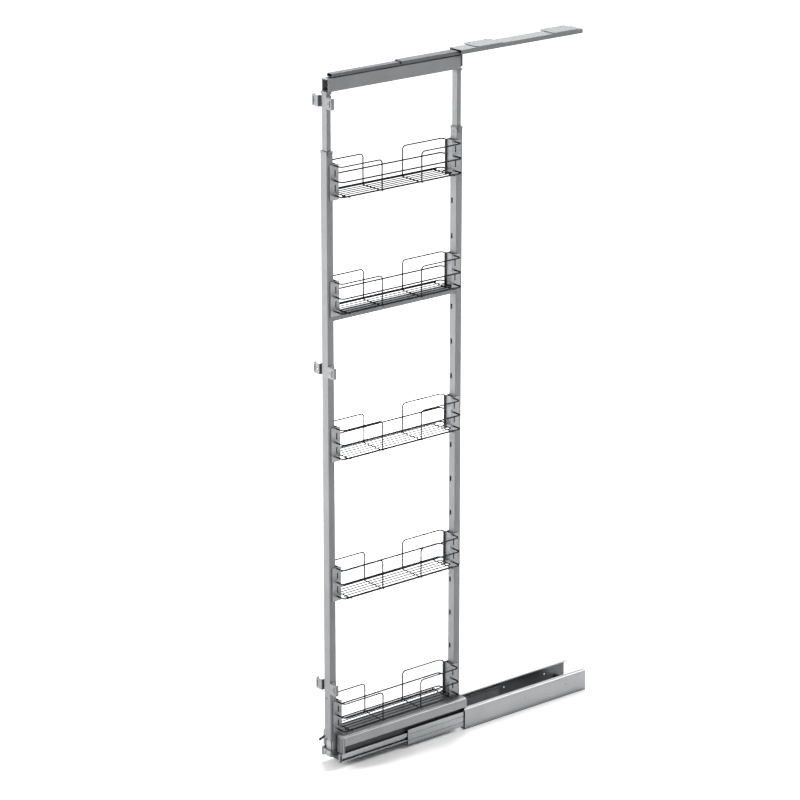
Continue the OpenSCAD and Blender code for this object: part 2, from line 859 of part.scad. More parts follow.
// Guide sleeve on top of an upright: a ring with ears and a tongue beside the inner tube
module collar(y0, tube_y, tongue_y0, tongue_y1) {
    z0 = upright_top;
    x1 = half_w + collar_lip;
    hole_x = inner_half + collar_play;
    color("darkgray") difference() {
        union() {
            along_z(z0, z0 + collar_t)
                round_box2(-x1, x1, y0 - collar_lip, y0 + upright_d + collar_lip, upright_r);
            block(-hole_x + tongue_inset, hole_x - tongue_inset, tongue_y0, tongue_y1,
                z0 - tongue_h, z0 + collar_t / 2);
            both_sides() block(half_w + tongue_gap, half_w + ear_w, y0 + ear_inset,
                y0 + upright_d - ear_inset, z0 - ear_h, z0 + collar_t);
        }
        block(-hole_x, hole_x, tube_y - collar_play, tube_y + inner_tube_d + collar_play,
            z0 - cut, z0 + collar_t + cut);
        height_screw_place() rod_y(0, tongue_y0 - cut, tongue_y1 + cut, 0, screw_hole_d);
    }
}

module front_collar() {
    collar(frame_y0, front_tube_y, front_tube_y1 + collar_play,
        front_back_y - upright_wall - tongue_gap);
}

module rear_collar() {
    collar(rear_upright_y, rear_tube_y, rear_upright_y + upright_wall + tongue_gap,
        rear_tube_y - collar_play);
}

// Screws that clamp the inner tubes at the height that was set
module height_screws() {
    color("silver") height_screw_place() {
        rod_y(0, front_back_y, front_back_y + screw_head_t, 0, screw_head_d);
        rod_y(0, front_tube_y1 + collar_play, front_back_y, 0, screw_d);
        rod_y(0, rear_upright_y - screw_head_t, rear_upright_y, 0, screw_head_d);
        rod_y(0, rear_upright_y, rear_tube_y - collar_play, 0, screw_d);
    }
}

// ---- Door brackets ----

// Bent sheet on the side of a tube of the given half width, seen from above
module door_bracket_outline(half, y_rear) {
    x1 = half + door_plate_gap;
    x2 = x1 + door_plate_w;
    t = door_bracket_t;
    box2(half, half + t, door_web_y, y_rear);
    box2(half, x1 + t, door_web_y, door_web_y + t);
    box2(x1, x1 + t, door_y0, door_web_y);
    box2(x1, x2, door_y0, door_y0 + t);
    box2(x2 - t, x2, door_y0, door_y0 + door_lip);
}

module door_bracket(half, y_rear, z) {
    slot_x = half + door_plate_gap + door_plate_w - door_slot_inset;
    y1 = door_y0 + door_bracket_t + cut;
    color("gainsboro") difference() {
        along_z(z - door_bracket_h / 2, z + door_bracket_h / 2) door_bracket_outline(half, y_rear);
        rod_x(half - cut, half + door_bracket_t + cut, door_screw_y, z, screw_hole_d);
        rod_y(door_hole_x, door_y0 - cut, y1, z, door_hole_d);
        slot_cut(slot_x, door_y0 - cut, y1, z - door_slot_h / 2, z + door_slot_h / 2, door_slot_w);
    }
}

module lower_door_brackets() {
    both_sides() door_bracket(half_w, front_back_y - 1, door_bracket_z[0]);
}

module middle_door_brackets() {
    both_sides() door_bracket(half_w, front_back_y - 1, door_bracket_z[1]);
}

module upper_door_brackets() {
    both_sides() door_bracket(inner_half, front_tube_y1, upper_bracket_z);
}

module bracket_screw(half, z) {
    x = half + door_bracket_t;
    rod_x(x, x + screw_head_t, door_screw_y, z, screw_head_d);
    rod_x(half - upright_wall - screw_tip, x, door_screw_y, z, screw_d);
}

module door_bracket_screws() {
    color("silver") both_sides() for (z = door_bracket_z) bracket_screw(half_w, z);
}

module upper_bracket_screws() {
    color("silver") both_sides() bracket_screw(inner_half, upper_bracket_z);
}

// ---- Release lever at the foot of the front upright ----

module release_lever() {
    color("dimgray") translate([0, lever_y, lever_z]) rotate([lever_slope, 0, 0]) difference() {
        union() {
            rod_x(lever_x0, lever_x1, 0, 0, lever_hub_d);
            block(lever_x0, lever_x1, -lever_l, 0, -lever_w / 2, lever_w / 2);
            rod_x(lever_x0, lever_x1, -lever_l, 0, lever_bead_d);
        }
        rod_x(lever_x0 - cut, lever_x1 + cut, 0, 0, lever_pin_d + 2 * lever_pin_play);
    }
}

module lever_pin() {
    x = lever_x0 - lever_head_gap;
    color("silver") {
        rod_x(x - lever_head_t, x, lever_y, lever_z, lever_head_d);
        rod_x(x, -half_w + upright_wall + screw_tip, lever_y, lever_z, lever_pin_d);
    }
}

// ---- Upper frame: inner tubes and top bar ----

// An inner tube whose front face lies at y
module inner_tube(y) {
    tube_z(-inner_half, inner_half, y, y + inner_tube_d, upright_top - tube_insertion, bar_z0,
        tube_wall, upright_r - 0.5);
}

module front_inner_tube() {
    color("lightgray") difference() {
        inner_tube(front_tube_y);
        both_sides() rod_x(inner_half - tube_wall - cut, inner_half + cut, door_screw_y,
            upper_bracket_z, screw_hole_d);
    }
}

module rear_inner_tube() {
    color("lightgray") inner_tube(rear_tube_y);
}

// Collars that tie the inner tubes to the top bar
module corner_clips() {
    x1 = inner_half + clip_t;
    color("dimgray") for (y = [front_tube_y, rear_tube_y])
        along_z(bar_z0 - clip_h, bar_z0) difference() {
            box2(-x1, x1, y - clip_t, y + inner_tube_d + clip_t);
            box2(-inner_half, inner_half, y, y + inner_tube_d);
        }
}

// Box section that joins the inner tubes, with its side walls cut back at the front
module top_bar() {
    x1 = bar_w / 2;
    y0 = frame_y0 + bar_inset;
    color("gray") difference() {
        along_y(y0, frame_y1 - bar_inset - end_stop_t) difference() {
            box2(-x1, x1, bar_z0, bar_z1);
            box2(-x1 + bar_t, x1 - bar_t, bar_z0 + bar_t, bar_z1 - bar_t);
        }
        block(-x1 - cut, x1 + cut, y0 - cut, y0 + bar_notch, bar_z0 + bar_t, bar_z1 - bar_t);
    }
}

// Moulded end of the top bar: a plate over its rear end and a plug inside it
module top_end_stop() {
    x1 = bar_w / 2;
    y1 = frame_y1 - bar_inset;
    y0 = y1 - end_stop_t;
    color("dimgray") {
        block(-x1 - end_stop_lip, x1 + end_stop_lip, y0, y1, bar_z0 + bar_lip, bar_z1 + neck_h);
        block(-x1 + bar_t + end_stop_play, x1 - bar_t - end_stop_play, y0 - 8, y0,
            bar_z0 + bar_lip + end_stop_play, bar_z1 - bar_lip - end_stop_play);
    }
}

// Inner rail, a flat box on three feet
module top_inner_rail() {
    x = top_inner_x;
    z0 = top_inner_z0;
    t = top_rail_t;
    y0 = top_inner_y0;
    color("dimgray") {
        along_y(y0, y0 + runner_l) difference() {
            box2(-x, x, z0, top_inner_z1);
            box2(-x + t, x - t, z0 + t, top_inner_z1 - t);
        }
        for (y = [y0, y0 + (runner_l - neck_l) / 2, y0 + runner_l - neck_l])
            block(-neck_w / 2, neck_w / 2, y, y + neck_l, bar_z1, z0);
    }
}

// ---- Top guide: nested rails under the cabinet top ----

module channel_down(x, z0, z1, t) {
    box2(-x, x, z1 - t, z1);
    box2(-x, -x + t, z0, z1);
    box2(x - t, x, z0, z1);
}

module top_middle_rail() {
    color("gray") along_y(middle_y0, middle_y0 + runner_l)
        channel_down(top_middle_x, top_middle_z0, top_middle_z1, top_rail_t);
}

module top_outer_rail() {
    color("dimgray") along_y(top_outer_y0, top_outer_y0 + top_outer_l)
        channel_down(top_outer_x, top_outer_z0, top_outer_z1, top_rail_t);
}

// A strip standing on edge beside a rail, with its balls in it
module top_cage_strip(x, y0) {
    difference() {
        block(x - top_cage_t / 2, x + top_cage_t / 2, y0, y0 + cage_l,
            top_ball_z - top_cage_h / 2, top_ball_z + top_cage_h / 2);
        ball_places(y0)
            rod_x(x - top_cage_t, x + top_cage_t, 0, top_ball_z, top_ball_d + 2 * pocket_play);
    }
    ball_places(y0) translate([x, 0, top_ball_z]) sphere(d = top_ball_d);
}

module top_outer_ball_cage() {
    color("silver") both_sides() top_cage_strip(top_middle_x + top_ball_gap / 2, outer_cage_y0);
}

module top_inner_ball_cage() {
    color("silver") both_sides() top_cage_strip(top_inner_x + top_ball_gap / 2, inner_cage_y0);
}

module ceiling_rail() {
    color("lightgray") along_y(ceiling_y0, ceiling_y0 + ceiling_l)
        channel_down(ceiling_w / 2, plates_z - ceiling_h, plates_z, ceiling_t);
}

// Plates on top of the ceiling rail, with screw holes in their ears beside it
module mounting_plates() {
    color("whitesmoke") for (y0 = plate_y0) difference() {
        along_z(plates_z, cabinet_height)
            round_box2(-ceiling_w / 2 - plate_reach, ceiling_w / 2, y0, y0 + plate_l, plate_r);
        for (y = [y0 + plate_hole_inset, y0 + plate_l - plate_hole_inset])
            rod_z(plate_hole_x, y, plates_z - cut, cabinet_height + cut, plate_hole_d);
    }
}

// ---- Baskets ----

// Hanger behind the front upright, whose rear face lies at Y = 0 here
module basket_bracket() {
    x2 = bracket_x + bracket_t;
    z0 = -bracket_drop;
    z1 = z0 + bracket_h;
    y1 = bracket_gap + bracket_t;
    difference() {
        union() {
            both_sides() block(bracket_x, x2, -bracket_back, y1 + bracket_lip, z0, z1);
            block(-bracket_x, bracket_x, bracket_gap, y1, z0 + bracket_foot, z1);
        }
        both_sides() {
            for (z = [0, mid_rail_h, top_loop_h])
                rod_x(bracket_x - cut, x2 + cut, wire_y, z, rim_d + 2 * wire_play);
            for (z = [mid_rail_h / 2, (mid_rail_h + top_loop_h) / 2])
                block(bracket_x - cut, x2 + cut, wire_y - bracket_window_w / 2,
                    wire_y + bracket_window_w / 2, z - window_h / 2, z + window_h / 2);
        }
    }
    // Hook through the slot of the upright, with a nose behind the wall
    x0 = -slot_x - hook_w / 2;
    x1 = -slot_x + hook_w / 2;
    block(x0, x1, nose_y - hook_t, bracket_gap, hook_rise, hook_rise + hook_h);
    block(x0, x1, nose_y - hook_t, nose_y, hook_rise - hook_drop, hook_rise + hook_h);
}

module basket_brackets(z) {
    color("gray") translate([0, 0, z]) {
        translate([0, front_back_y, 0]) basket_bracket();
        translate([0, rear_upright_y, 0]) mirror([0, 1, 0]) basket_bracket();
    }
}

// Front end of a wire on the right, bent inward to its hole in the hanger
module wire_end(x, z, d) {
    rod_x(wire_end_x, x - bend_r, basket_y0, z, d);
    translate([x - bend_r, basket_y0 + bend_r, z]) rotate([0, 0, -90]) elbow(d);
}

// Swaps front and rear of the basket
module rear_half() {
    translate([0, 2 * basket_mid, 0]) mirror([0, 1, 0]) children();
}

module front_and_rear() {
    children();
    rear_half() children();
}

module long_rail(z) {
    front_and_rear() wire_end(rim_x, z, rim_d);
    rod_y(rim_x, basket_y0 + bend_r, basket_y1 - bend_r, z, rim_d);
}

// Loop that runs from the bracket along the top and down to the rim
module top_loop() {
    y1 = basket_mid - loop_y;
    wire_end(loop_x, top_loop_h, loop_d);
    rod_y(loop_x, basket_y0 + bend_r, y1 - bend_r, top_loop_h, loop_d);
    translate([loop_x, y1 - bend_r, top_loop_h - bend_r]) rotate([90, 0, 90]) elbow(loop_d);
    rod_z(loop_x, y1, -loop_sink, top_loop_h - bend_r, loop_d);
}

module basket_wires(z) {
    color("dimgray") translate([0, 0, z]) both_sides() {
        long_rail(0);
        long_rail(mid_rail_h);
        front_and_rear() top_loop();
    }
}

// Half turn of the floor wire between two of its lengths
module hairpin() {
    rotate_extrude(angle = 180) translate([floor_pitch / 2, 0]) circle(d = floor_d);
}

// Floor: one long wire bent to and fro, on four cross wires under the rims
module basket_floor(z) {
    cross_z = -(rim_d + floor_d) / 2 - seat_gap;
    long_z = cross_z + floor_d - weld;
    y0 = basket_y0 + floor_inset;
    y1 = basket_y1 - floor_inset;
    last = floor_wires - 1;
    color("dimgray") translate([0, 0, z]) {
        for (y = [y0 + cross_inset, y1 - cross_inset, basket_mid - loop_y, basket_mid + loop_y])
            rod_x(-rim_x, rim_x, y, cross_z, floor_d);
        for (i = [0 : last]) rod_y((i - last / 2) * floor_pitch, y0, y1, long_z, floor_d);
        for (i = [0 : last - 1]) translate([(i + 0.5 - last / 2) * floor_pitch, 0, long_z])
            if (i % 2 == 0) translate([0, y0, 0]) rotate([0, 0, 180]) hairpin();
            else translate([0, y1, 0]) hairpin();
    }
}

base_plate();
housing_side_left();
housing_side_right();
housing_buffers();
middle_runner_left();
middle_runner_right();
outer_ball_cages();
inner_ball_cages();
inner_runner_left();
inner_runner_right();
runner_rivets();
runner_tips();
carriage();
carriage_cap();
cross_member();
upright_foot();
foot_screws();
front_upright();
rear_upright();
cross_bar();
cross_bar_screws();
front_collar();
rear_collar();
height_screws();
lower_door_brackets();
middle_door_brackets();
upper_door_brackets();
door_bracket_screws();
upper_bracket_screws();
release_lever();
lever_pin();
front_inner_tube();
rear_inner_tube();
corner_clips();
top_bar();
top_inner_rail();
top_end_stop();
top_middle_rail();
top_outer_rail();
top_outer_ball_cage();
top_inner_ball_cage();
ceiling_rail();
mounting_plates();
basket_wires(basket_z[0]);  // basket_1
basket_floor(basket_z[0]);  // basket_1_floor
basket_brackets(basket_z[0]);  // basket_1_brackets
basket_wires(basket_z[1]);  // basket_2
basket_floor(basket_z[1]);  // basket_2_floor
basket_brackets(basket_z[1]);  // basket_2_brackets
basket_wires(basket_z[2]);  // basket_3
basket_floor(basket_z[2]);  // basket_3_floor
basket_brackets(basket_z[2]);  // basket_3_brackets
basket_wires(basket_z[3]);  // basket_4
basket_floor(basket_z[3]);  // basket_4_floor
basket_brackets(basket_z[3]);  // basket_4_brackets
basket_wires(basket_z[4]);  // basket_5
basket_floor(basket_z[4]);  // basket_5_floor
basket_brackets(basket_z[4]);  // basket_5_brackets
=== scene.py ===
# %% [markdown]
# # A pull-out larder frame, from bare solids to a finished picture
# The frame below stands in a narrow kitchen cabinet and rolls out with five wire baskets. Its
# solids come from a CAD model, so their sizes are already right. This lesson gives each solid the
# finish of the real piece, and adds what a CAD model leaves out: smooth bent wires, welds and
# screw heads.

# %% Load the solids
import json
import math

import bmesh
import bpy
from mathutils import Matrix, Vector


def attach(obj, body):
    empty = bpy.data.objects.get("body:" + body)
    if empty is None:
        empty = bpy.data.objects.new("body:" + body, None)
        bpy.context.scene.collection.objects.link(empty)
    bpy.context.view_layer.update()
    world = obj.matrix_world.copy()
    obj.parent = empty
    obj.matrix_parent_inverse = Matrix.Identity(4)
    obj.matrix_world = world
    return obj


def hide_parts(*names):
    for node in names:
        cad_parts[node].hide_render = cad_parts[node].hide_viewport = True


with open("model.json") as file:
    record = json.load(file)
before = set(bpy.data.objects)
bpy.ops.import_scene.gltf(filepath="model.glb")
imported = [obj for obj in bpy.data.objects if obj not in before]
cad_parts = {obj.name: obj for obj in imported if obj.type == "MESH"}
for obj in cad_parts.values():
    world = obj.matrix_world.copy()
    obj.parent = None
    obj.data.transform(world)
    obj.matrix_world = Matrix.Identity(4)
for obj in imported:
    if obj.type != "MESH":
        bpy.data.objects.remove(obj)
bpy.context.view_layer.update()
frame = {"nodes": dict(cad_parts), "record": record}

# %% [markdown]
# ## Sizes
# A workshop drawing gives sizes in millimetres, and Blender counts in metres. Every size below is
# written in millimetres and multiplied once. The places of the main pieces are those of the CAD
# model, so that a screw head drawn here sits in the hole drawn there.

# %% Millimetres and the main sizes
MM = 0.001
UPRIGHT_FRONT = -529.0
UPRIGHT_DEPTH = 23.0
UPRIGHT_HALF = 15.0
FRAME_DEPTH = 500.0
CABINET_HEIGHT = 2114.0
UPRIGHT_DROP = 234.0
UPRIGHT_TOP = CABINET_HEIGHT - UPRIGHT_DROP
# Rim heights of the lowest and the highest basket, and where each basket hangs between the two
LOWEST, HIGHEST = 119.0, UPRIGHT_TOP - 125.0
basket_share = [0, 0.2586, 0.5226, 0.791, 1]
print("the frame's front face is at", UPRIGHT_FRONT * MM, "m, its uprights end at",
      UPRIGHT_TOP * MM, "m")

# %% [markdown]
# ## The camera
# The photograph is taken from the right and from above, with a long lens, so upright lines stay
# almost parallel. The camera's place was worked out from the corners of the uprights and rails: it
# stands about 10 m away. A long lens at a distance flattens the depth as the photograph does.
# The standard view shows a colour as it is written, so that white stays white.

# %% Camera
CAMERA_PLACE = (7.2905, -6.1884, 4.1926)
LOOKS_DOWN, TURNED = 18.249, 50.841
LENS = 152.08
camera_data = bpy.data.cameras.new("camera")
camera_data.sensor_width = 36.0
camera_data.lens = LENS
camera_data.clip_end = 200.0
camera = bpy.data.objects.new("camera", camera_data)
bpy.context.scene.collection.objects.link(camera)
camera.location = CAMERA_PLACE
camera.rotation_euler = (math.radians(90 - LOOKS_DOWN), 0, math.radians(TURNED))
bpy.context.scene.camera = camera
bpy.context.scene.view_settings.view_transform = "Standard"
print("camera", tuple(camera.location), "lens", camera_data.lens)

# %% [markdown]
# ## Two helpers for materials
# A colour picked on a screen is stored with a curve (sRGB), while Blender's shaders want light in
# equal steps (linear). One function turns the first into the second. Another adds a shader node
# with its settings and links, so that each material below reads like a list.

# %% Colour and node helpers
def linear(code):
    values = [int(code[i:i + 2], 16) / 255 for i in (1, 3, 5)]
    curve = [v / 12.92 if v <= 0.04045 else ((v + 0.055) / 1.055) ** 2.4 for v in values]
    return curve + [1.0]


def add(tree, kind, inputs=None, **settings):
    node = tree.nodes.new(kind)
    for name, value in settings.items():
        setattr(node, name, value)
    for key, value in (inputs or {}).items():
        if isinstance(value, bpy.types.NodeSocket):
            tree.links.new(value, node.inputs[key])
        else:
            node.inputs[key].default_value = value
    return node


def new_material(name):
    material = bpy.data.materials.new(name)
    material.use_nodes = True
    tree = material.node_tree
    tree.nodes.clear()
    return material, tree


print("mid grey is", linear("#808080")[0])

# %% [markdown]
# ## The steps of a material
# Each finish below mixes colours, takes a share of a mask, reads a noise of a real size in
# millimetres, stretches its values to a new span and turns it into small bumps. At the end the
# colour, gloss and normal go into one Principled shader. A short function does each step.

# %% Steps of a material
def mix(tree, share, first, second):
    return add(tree, "ShaderNodeMix", {0: share, 6: first, 7: second}, data_type="RGBA").outputs[2]


def math_node(tree, kind, first, second=0.0):
    return add(tree, "ShaderNodeMath", {0: first, 1: second}, operation=kind).outputs[0]


def share_of(tree, value, amount):
    return math_node(tree, "MULTIPLY", value, amount)


def noise(tree, place, grain_mm, detail=2.0, roughness=0.5):
    pattern = add(tree, "ShaderNodeTexNoise", {"Vector": place, "Scale": 1 / (grain_mm * MM),
                                               "Detail": detail, "Roughness": roughness})
    return pattern.outputs["Fac"]


def bumps(tree, height, strength, depth_mm):
    return add(tree, "ShaderNodeBump", {"Height": height, "Strength": strength,
                                        "Distance": depth_mm * MM}).outputs[0]


def span(tree, value, low, high, first=0.0, last=1.0, **settings):
    return add(tree, "ShaderNodeMapRange", {"Value": value, "From Min": low, "From Max": high,
                                            "To Min": first, "To Max": last}, **settings).outputs[0]


def surface(tree, colour, metal, roughness, normal, extra=None):
    shader = add(tree, "ShaderNodeBsdfPrincipled",
                 {"Base Color": colour, "Metallic": metal, "Roughness": roughness,
                  "Normal": normal, **(extra or {})})
    add(tree, "ShaderNodeOutputMaterial", {"Surface": shader.outputs[0]})


print("material steps ready")

# %% [markdown]
# ## Rounded edges and dark crevices
# The solids have knife-sharp edges, and real sheet and tube never has. The Bevel node bends the
# shading normal near an edge, so it catches a thin line of light and the mesh stays as it is. The
# angle between that normal and the true one also says where an edge is, which is where paint and
# plating look a little lighter. Gaps and inner corners are the opposite: shade falls there, and
# that shade is painted into the colour as a dark tone. The Ambient Occlusion node finds them by
# asking how much of the sky within a few millimetres is blocked.

# %% Edge light and crevice shade
def edges_and_crevice_shade(tree, radius_mm, bumped, reach_mm):
    bevel = add(tree, "ShaderNodeBevel", {"Radius": radius_mm * MM, "Normal": bumped}, samples=4)
    plain = add(tree, "ShaderNodeNewGeometry")
    both = add(tree, "ShaderNodeVectorMath", {0: bevel.outputs[0], 1: plain.outputs["Normal"]},
               operation="DOT_PRODUCT")
    edge = span(tree, both.outputs["Value"], 0.995, 0.9)
    # Painted shade: the mask rises towards 1 where little sky reaches a gap or inner corner.
    open_sky = add(tree, "ShaderNodeAmbientOcclusion", {"Distance": reach_mm * MM}, samples=8)
    crevice_shade = span(tree, open_sky.outputs["AO"], 0.3, 0.85, 1.0, 0.0)
    return bevel.outputs[0], edge, crevice_shade


print("edge light and crevice shade ready")

# %% [markdown]
# ## Silver-grey powder coat on steel tube
# The uprights, the carriage and the bar are steel, blasted, sprayed with powder and baked. Powder
# flows out to a very fine orange peel, about 1 mm from hill to hill, with a satin gloss. Tiny
# aluminium flakes make the grey sparkle a little. A photo texture would need an unwrapped mesh, so
# noise in Object coordinates is used instead: it runs through the solid like grain.

# %% Powder coat
def powder_coat(name, colour, flake_colour, roughness, peel_mm=1.1, peel=0.12, metal=0.1,
                painted_shade=None, painted_shade_colour="#3A3C3E"):
    material, tree = new_material(name)
    place = add(tree, "ShaderNodeTexCoord").outputs["Object"]
    # Flakes are really 0.03 mm wide. They are drawn 0.7 mm wide, so that they still show.
    flakes = noise(tree, place, 0.7, roughness=0.6)
    clouds = noise(tree, place, 90, detail=3.0)
    spread = span(tree, share_of(tree, flakes, clouds), 0.12, 0.42)
    paint = mix(tree, spread, linear(colour), linear(flake_colour))
    bump = bumps(tree, noise(tree, place, peel_mm, detail=1.0), peel, 0.08)
    normal, edge, crevice_shade = edges_and_crevice_shade(tree, 0.5, bump, 22)
    lit = mix(tree, share_of(tree, edge, 0.35), paint, linear("#D9DADB"))
    # Painted shade: where the mask says so, the coat's colour gives way to a darker one.
    if painted_shade:
        lit = mix(tree, painted_shade(tree, place), lit, linear(painted_shade_colour))
    # Painted shade: gaps and inner corners are darkened towards near black.
    shaded = mix(tree, share_of(tree, crevice_shade, 0.85), lit, linear("#17181A"))
    surface(tree, shaded, metal, roughness, normal)
    return material


# Where shade is painted: 0 on the lit coat, 1 where a darker colour stands in for shade. The inner
# walls of the housing and the legs under the carriage's skirt get this painted shade, and its deck
# top gets a share of it as a painted dark reflection of the room.
HOUSING_WALL, HOUSING_SHOULDER = 50.4, 62
CARRIAGE_LEG, DECK_UNDERSIDE, DECK_TOP, DECK_SHADE = 39.0, 100.5, 102.8, 0.62


def below_and_inside(tree, place, half_width_mm, top_mm):
    axis = add(tree, "ShaderNodeSeparateXYZ", {0: place}).outputs
    side = math_node(tree, "ABSOLUTE", axis["X"])
    inside = math_node(tree, "LESS_THAN", side, half_width_mm * MM)
    low = math_node(tree, "LESS_THAN", axis["Z"], top_mm * MM)
    return share_of(tree, inside, low), axis["Z"]


# Painted shade on the inner walls of the housing, below the shoulder.
def housing_inside_shade(tree, place):
    return below_and_inside(tree, place, HOUSING_WALL, HOUSING_SHOULDER)[0]


def carriage_painted_shade(tree, place):
    leg, height = below_and_inside(tree, place, CARRIAGE_LEG, DECK_UNDERSIDE)
    # Painted shade on the legs under the skirt, and a share of it on the deck top as a painted dark
    # reflection.
    deck = math_node(tree, "GREATER_THAN", height, DECK_TOP * MM)
    return math_node(tree, "MAXIMUM", leg, share_of(tree, deck, DECK_SHADE))


frame_coat = powder_coat("silver_powder_coat_tube", "#A8AAAC", "#B6B8BA", 0.44)
carriage_coat = powder_coat("silver_powder_coat_carriage", "#A8AAAC", "#B6B8BA", 0.34, metal=0.3,
                            painted_shade=carriage_painted_shade, painted_shade_colour="#34363A")
housing_coat = powder_coat("silver_powder_coat_sheet", "#C2C4C6", "#CED0D1", 0.3, metal=0.3,
                           painted_shade=housing_inside_shade, painted_shade_colour="#74777A")
bracket_coat = powder_coat("silver_powder_coat_bracket", "#A9ABAD", "#BDBFC1", 0.36, peel=0.08)
print("powder coats:", frame_coat.name, carriage_coat.name, housing_coat.name, bracket_coat.name)

# %% [markdown]
# ## Zinc-plated steel
# Slides and small parts are stamped or roll-formed from steel strip and plated with zinc. The
# rolls leave lines along the strip, some tenths of a millimetre apart, and the plating is a pale,
# slightly cloudy metal. A noise stretched along the length gives the lines, and a second, wide one
# gives the clouds.

# %% Zinc plate
def zinc_plate(name, colour, cloud_colour, roughness, along="Y", lines=0.25, metal=1.0):
    material, tree = new_material(name)
    place = add(tree, "ShaderNodeTexCoord").outputs["Object"]
    # The rolled lines run along one axis, so the noise is stretched fifty times along it.
    stretch = {"Y": (1.0, 0.02, 1.0), "Z": (1.0, 1.0, 0.02)}[along]
    drawn = add(tree, "ShaderNodeMapping", {"Vector": place, "Scale": stretch})
    roll = noise(tree, drawn.outputs[0], 0.5, detail=3.0)
    clouds = noise(tree, place, 14, detail=4.0, roughness=0.6)
    plate = mix(tree, clouds, linear(colour), linear(cloud_colour))
    rough = span(tree, roll, 0.0, 1.0, roughness - 0.06, roughness + 0.1)
    bump = bumps(tree, roll, lines, 0.05)
    normal, edge, crevice_shade = edges_and_crevice_shade(tree, 0.35, bump, 8)
    lit = mix(tree, share_of(tree, edge, 0.4), plate, linear("#E4E4E2"))
    # Painted shade: gaps and inner corners are darkened towards near black.
    shaded = mix(tree, share_of(tree, crevice_shade, 0.9), lit, linear("#121315"))
    surface(tree, shaded, metal, rough, normal)
    return material


slide_zinc = zinc_plate("bright_zinc_slide", "#8E9092", "#A6A8AA", 0.28)
floor_zinc = zinc_plate("satin_zinc_base", "#55575A", "#686A6C", 0.42)
cage_zinc = zinc_plate("zinc_strip_cage", "#848688", "#98999A", 0.36)
hanger_zinc = zinc_plate("satin_zinc_hanger", "#77797B", "#8B8D8F", 0.34, along="Z")
ceiling_zinc = zinc_plate("satin_zinc_ceiling_rail", "#868889", "#959798", 0.42, metal=0.2)
dark_zinc = zinc_plate("dark_zinc_top_slide", "#4C4E51", "#5C5E61", 0.36)
screw_zinc = zinc_plate("bright_zinc_screw", "#B2B4B6", "#C2C3C4", 0.24, lines=0.1)
print("zinc plates:", slide_zinc.name, dark_zinc.name, screw_zinc.name)

# %% [markdown]
# ## Polished chrome
# The baskets are bent and welded from steel wire, then plated with nickel and chrome. Chrome
# mirrors the room, so most of what the eye sees on a thin wire is dark with a few white lines. Its
# own colour is a cool grey; here the colour is painted near black instead, a painted reflection of
# a dark room. Slight waves and a little dust break the mirror up. A darker tint where the wire
# turns away from the eye, also a painted dark reflection, keeps its edges from vanishing against
# the white background.

# %% Chrome
chrome, tree = new_material("polished_chrome_wire")
place = add(tree, "ShaderNodeTexCoord").outputs["Object"]
dust = noise(tree, place, 6, detail=5.0)
haze = span(tree, dust, 0.35, 0.7, 0.1, 0.24)
# Painted reflection: the near-black colour stands in for the dark room that chrome would mirror.
tint = mix(tree, dust, linear("#1D1F21"), linear("#35373A"))
bump = bumps(tree, noise(tree, place, 9, detail=1.0), 0.1, 0.2)
# Painted reflection: the dark edge tint also stands in for a dark room.
surface(tree, tint, 1.0, haze, bump, {"Specular Tint": linear("#5A5C5E")})
print("chrome:", chrome.name)

# %% [markdown]
# ## Moulded plastic, die-cast zinc and rubber
# Plastic parts come out of a spark-eroded mould with a fine matte grain of about 0.3 mm, drawn a
# little coarser here so that it shows. Cast zinc has a similar skin, but is a metal. Rubber is
# nearly black and dull. All three are the same recipe with other numbers: a grain in the bump, and
# a little of it in the colour.

# %% Moulded and cast skins
def moulded(name, colour, grain_colour, roughness, grain_mm=0.45, metal=0.0):
    material, tree = new_material(name)
    place = add(tree, "ShaderNodeTexCoord").outputs["Object"]
    skin = noise(tree, place, grain_mm)
    broad = noise(tree, place, 20)
    shade = span(tree, share_of(tree, skin, broad), 0.1, 0.4)
    skin_colour = mix(tree, shade, linear(colour), linear(grain_colour))
    bump = bumps(tree, skin, 0.2, 0.06)
    normal, _, crevice_shade = edges_and_crevice_shade(tree, 0.6, bump, 10)
    # Painted shade: gaps and inner corners are darkened towards near black.
    shaded = mix(tree, share_of(tree, crevice_shade, 0.8), skin_colour, linear("#101012"))
    surface(tree, shaded, metal, roughness, normal)
    return material


pale_nylon = moulded("light_grey_nylon", "#A8AAAB", "#B6B8B9", 0.5)
dark_nylon = moulded("dark_grey_nylon", "#3C3D3F", "#4A4B4D", 0.46)
cast_zinc = moulded("die_cast_zinc", "#9C9EA0", "#B0B2B3", 0.42, grain_mm=0.7, metal=0.8)
rubber = moulded("black_rubber", "#18181A", "#242426", 0.8)
print("skins:", pale_nylon.name, dark_nylon.name, cast_zinc.name, rubber.name)

# %% [markdown]
# ## Give every solid its finish
# The model's record names a material slot for each solid. A table from slot to finish is enough:
# a walk over the solids then swaps the plain colour for the real one.

# %% Dress the solids
finishes = {
    "zinc_plate": floor_zinc, "housing_steel": housing_coat, "slide_steel": slide_zinc,
    "cage_steel": cage_zinc, "screw_zinc": screw_zinc, "frame_paint": frame_coat,
    "bracket_steel": bracket_coat, "hanger_steel": hanger_zinc, "foot_cast": cast_zinc,
    "chrome_wire": chrome, "pale_plastic": pale_nylon, "dark_plastic": dark_nylon,
    "dark_slide": dark_zinc, "ceiling_steel": ceiling_zinc, "black_rubber": rubber,
}
slot_of = {part["node"]: part["material_slot"] for part in frame["record"]["subparts"]}
for name, solid in frame["nodes"].items():
    for slot in solid.material_slots:
        slot.material = carriage_coat if name == "carriage" else finishes[slot_of[name]]
print("dressed", len(frame["nodes"]), "solids in", len(finishes), "finishes")

